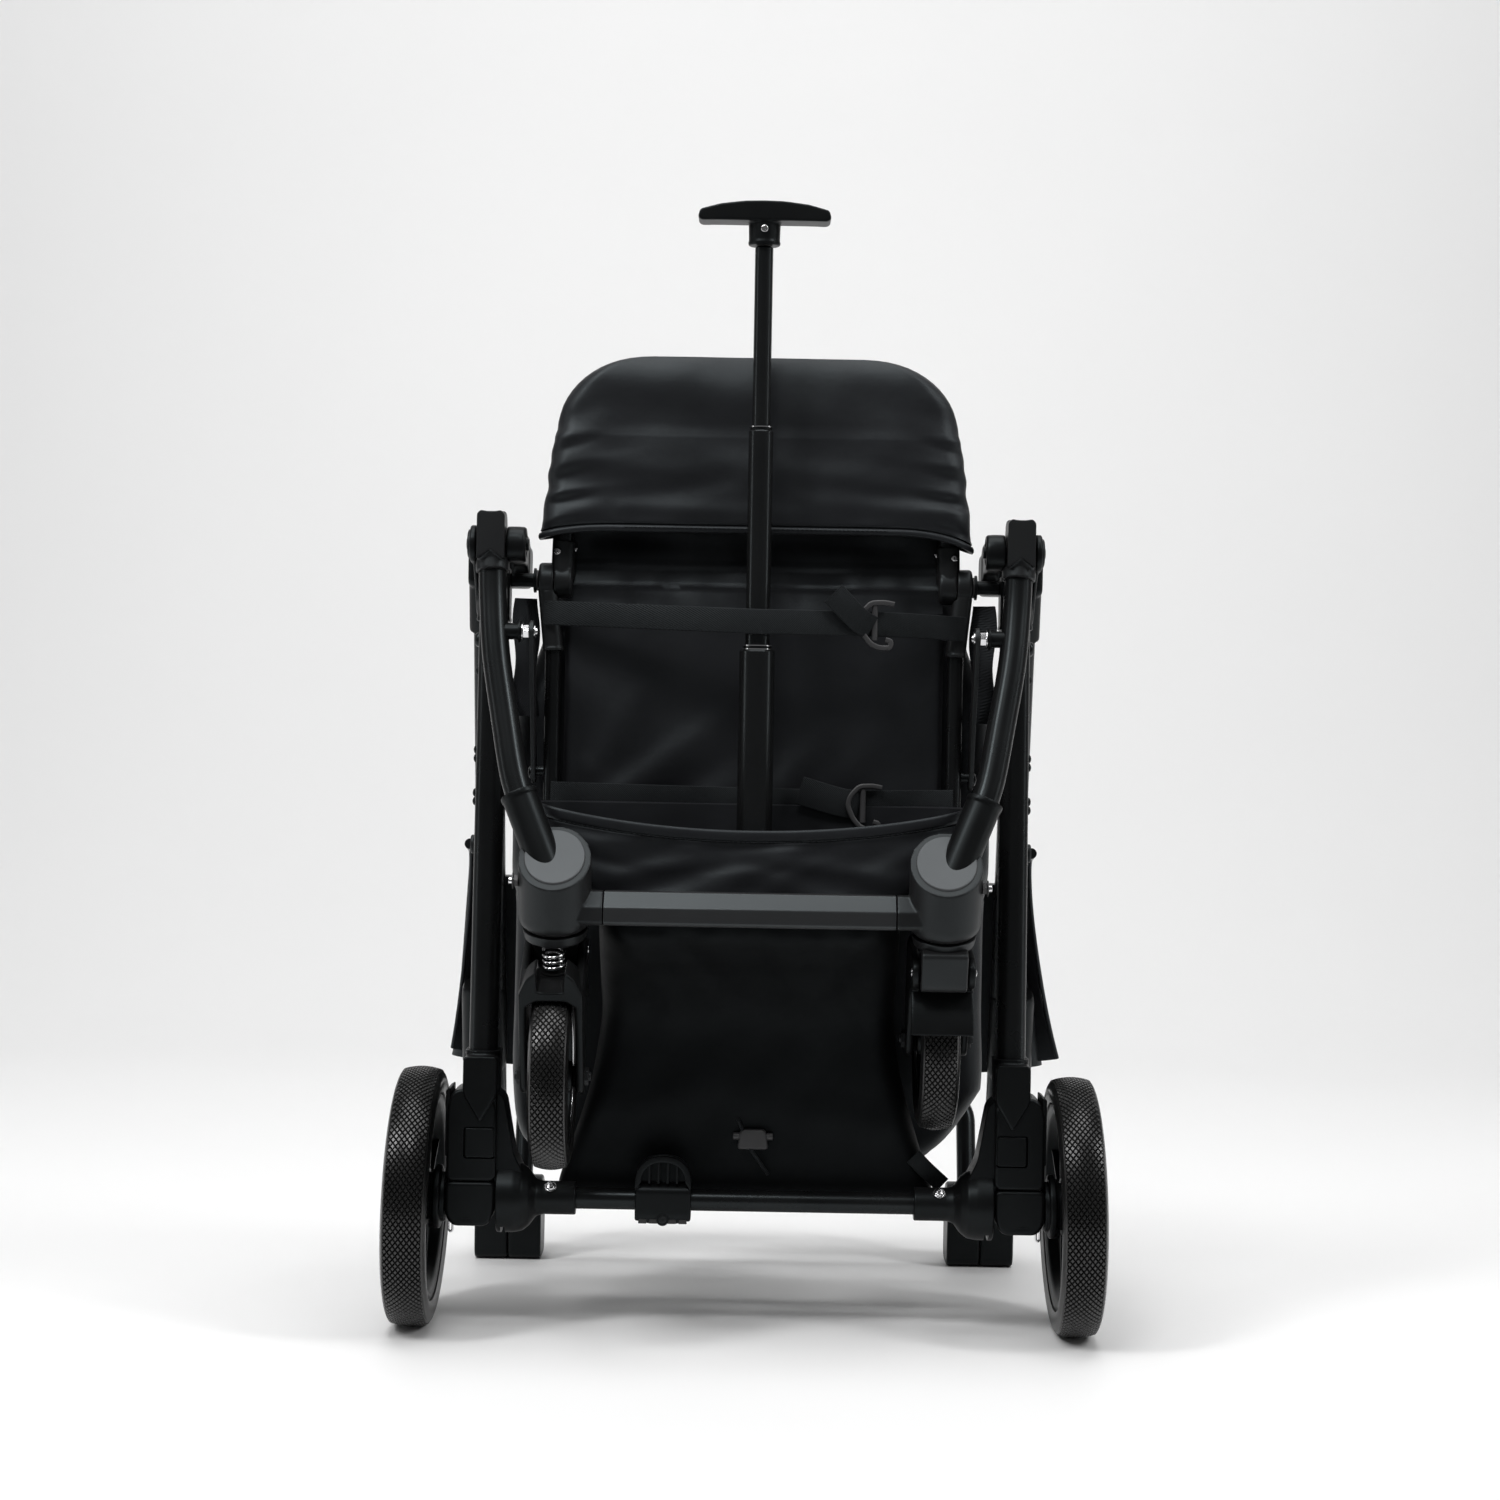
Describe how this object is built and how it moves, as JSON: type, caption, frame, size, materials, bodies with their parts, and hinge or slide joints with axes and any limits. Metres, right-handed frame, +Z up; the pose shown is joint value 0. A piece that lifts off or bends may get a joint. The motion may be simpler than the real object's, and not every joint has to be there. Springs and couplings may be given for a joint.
{
  "type": "pet stroller",
  "caption": "Folding pet stroller, standing folded, with swivelling sprung front wheels, a fabric cabin and basket, and a pull-out trolley rod.",
  "frame": {"origin": "on the floor under the middle of the folded stroller's bounding box", "axes": "+Z up; +X to the right of the underside, which faces -Y; +Y towards the push handle it stands on"},
  "size_m": [0.493, 0.4399, 0.779],
  "materials": {
    "tube_black": "satin black powder coat on round and oval tube",
    "rod_black": "smooth black anodised telescopic tube",
    "plastic_black": "fine-grained matte black moulding",
    "plastic_charcoal": "matte charcoal moulding",
    "tyre": "black solid rubber with a diamond tread",
    "spring_chrome": "bright plated wire",
    "fabric_black": "black tight-woven polyester with a slight sheen",
    "webbing": "black twill webbing"
  },
  "bodies": {
    "rear_frame": {"rear_leg_tube_right": "tube_black", "rear_leg_tube_left": "tube_black", "rear_hub_housing_right": "plastic_black", "rear_hub_housing_left": "plastic_black", "axle_socket_right": "plastic_black", "axle_socket_left": "plastic_black", "hinge_bracket_right": "plastic_black", "hinge_bracket_left": "plastic_black", "hinge_pin_right": "plastic_black", "hinge_pin_left": "plastic_black", "seat_pivot_spacer_right": "plastic_black", "seat_pivot_spacer_left": "plastic_black", "rear_axle_tube": "tube_black"},
    "front_frame": {"front_leg_tube_right": "tube_black", "front_leg_tube_left": "tube_black", "front_hinge_block_right": "plastic_black", "front_hinge_block_left": "plastic_black", "caster_housing_right": "plastic_charcoal", "caster_housing_left": "plastic_charcoal", "front_crossbar": "tube_black"},
    "seat": {"seat_knuckle_right": "plastic_black", "seat_knuckle_left": "plastic_black", "link_bar_right": "tube_black", "link_bar_left": "tube_black", "seat_frame_tube": "tube_black", "cabin_body": "fabric_black", "basket": "fabric_black", "upper_strap": "webbing", "trolley_outer_tube": "rod_black"},
    "bow": {"front_bow": "tube_black", "front_cover": "fabric_black"},
    "rod_middle": {"trolley_middle_tube": "rod_black"},
    "rod_inner": {"trolley_inner_tube": "rod_black", "trolley_grip": "plastic_black"},
    "handle": {"handle_tube_right": "tube_black", "handle_tube_left": "tube_black", "handle_bracket_right": "plastic_black", "handle_bracket_left": "plastic_black", "handle_knuckle_right": "plastic_black", "handle_knuckle_left": "plastic_black"},
    "grip": {"grip_bow": "tube_black"},
    "hood": {"hood_cover": "fabric_black", "hood_bow": "tube_black"},
    "pedal": {"brake_pedal": "plastic_black"},
    "rear_wheel_right": {"rear_tyre_right": "tyre", "rear_rim_right": "plastic_black"},
    "button_right": {"wheel_release_button_right": "plastic_black"},
    "swivel_right": {"caster_neck_right": "plastic_black", "caster_spring_right": "spring_chrome"},
    "fork_right": {"caster_fork_right": "plastic_black"},
    "front_wheel_right": {"front_tyre_right": "tyre", "front_rim_right": "plastic_black"},
    "rear_wheel_left": {"rear_tyre_left": "tyre", "rear_rim_left": "plastic_black"},
    "button_left": {"wheel_release_button_left": "plastic_black"},
    "swivel_left": {"caster_neck_left": "plastic_black", "caster_spring_left": "spring_chrome"},
    "fork_left": {"caster_fork_left": "plastic_black"},
    "front_wheel_left": {"front_tyre_left": "tyre", "front_rim_left": "plastic_black"}
  },
  "joints": [
    {"name": "seat_fold", "type": "hinge", "parent": "rear_frame", "child": "seat", "pos_m": [0, -0.0829, 0.521], "axis": [1, 0, 0], "range_deg": [0, 40]},
    {"name": "front_leg_fold", "type": "hinge", "parent": "rear_frame", "child": "front_frame", "pos_m": [0, -0.1109, 0.544], "axis": [-1, 0, 0], "range_deg": [0, 65]},
    {"name": "handle_fold", "type": "hinge", "parent": "rear_frame", "child": "handle", "pos_m": [0, -0.1109, 0.544], "axis": [1, 0, 0], "range_deg": [0, 76]},
    {"name": "bow_ratchet", "type": "hinge", "parent": "seat", "child": "bow", "pos_m": [0, -0.0829, 0.521], "axis": [-1, 0, 0], "range_deg": [0, 60]},
    {"name": "rod_middle_slide", "type": "slide", "parent": "seat", "child": "rod_middle", "axis": [0, 0, 1], "range_m": [-0.14, 0]},
    {"name": "rod_inner_slide", "type": "slide", "parent": "rod_middle", "child": "rod_inner", "axis": [0, 0, 1], "range_m": [-0.115, 0]},
    {"name": "grip_angle", "type": "hinge", "parent": "handle", "child": "grip", "pos_m": [0, 0.1731, 0.04], "axis": [-1, 0, 0], "range_deg": [0, 150]},
    {"name": "hood_tilt", "type": "hinge", "parent": "handle", "child": "hood", "pos_m": [0, 0.0471, 0.33], "axis": [1, 0, 0], "range_deg": [0, 60]},
    {"name": "brake_press", "type": "hinge", "parent": "rear_frame", "child": "pedal", "pos_m": [-0.057, -0.0889, 0.09], "axis": [1, 0, 0], "range_deg": [0, 20]},
    {"name": "rear_wheel_spin_right", "type": "hinge", "parent": "rear_frame", "child": "rear_wheel_right", "pos_m": [0.229, -0.0889, 0.09], "axis": [0.9997, 0, 0.0244], "continuous": true},
    {"name": "button_press_right", "type": "slide", "parent": "rear_frame", "child": "button_right", "axis": [0, 1, 0], "range_m": [0, 0.003], "stiffness_N_per_m": 600, "springref_m": -0.002},
    {"name": "swivel_turn_right", "type": "hinge", "parent": "front_frame", "child": "swivel_right", "pos_m": [0.131, -0.1689, 0.313], "axis": [0, -0.342, 0.9397], "range_deg": [-8, 5]},
    {"name": "suspension_right", "type": "hinge", "parent": "swivel_right", "child": "fork_right", "pos_m": [0.131, -0.16393, 0.25841], "axis": [1, 0, 0], "range_deg": [0, 4], "stiffness_Nm_per_rad": 18, "springref_deg": -1.15, "deforming": ["caster_spring_right"]},
    {"name": "front_wheel_spin_right", "type": "hinge", "parent": "fork_right", "child": "front_wheel_right", "pos_m": [0.131, -0.09493, 0.20626], "axis": [1, 0, 0], "continuous": true},
    {"name": "rear_wheel_spin_left", "type": "hinge", "parent": "rear_frame", "child": "rear_wheel_left", "pos_m": [-0.229, -0.0889, 0.09], "axis": [0.9997, 0, -0.0244], "continuous": true},
    {"name": "button_press_left", "type": "slide", "parent": "rear_frame", "child": "button_left", "axis": [0, 1, 0], "range_m": [0, 0.003], "stiffness_N_per_m": 600, "springref_m": -0.002},
    {"name": "swivel_turn_left", "type": "hinge", "parent": "front_frame", "child": "swivel_left", "pos_m": [-0.131, -0.1689, 0.313], "axis": [0, -0.342, 0.9397], "range_deg": [-40, 40]},
    {"name": "suspension_left", "type": "hinge", "parent": "swivel_left", "child": "fork_left", "pos_m": [-0.131, -0.13762, 0.26798], "axis": [-1, 0, 0], "range_deg": [0, 4], "stiffness_Nm_per_rad": 18, "springref_deg": -1.15, "deforming": ["caster_spring_left"]},
    {"name": "front_wheel_spin_left", "type": "hinge", "parent": "fork_left", "child": "front_wheel_left", "pos_m": [-0.131, -0.15695, 0.18369], "axis": [1, 0, 0], "continuous": true}
  ],
  "couplings": [
    {"joint": "front_leg_fold", "follows": "seat_fold", "ratio": 1.625},
    {"joint": "handle_fold", "follows": "seat_fold", "ratio": 1.9}
  ]
}
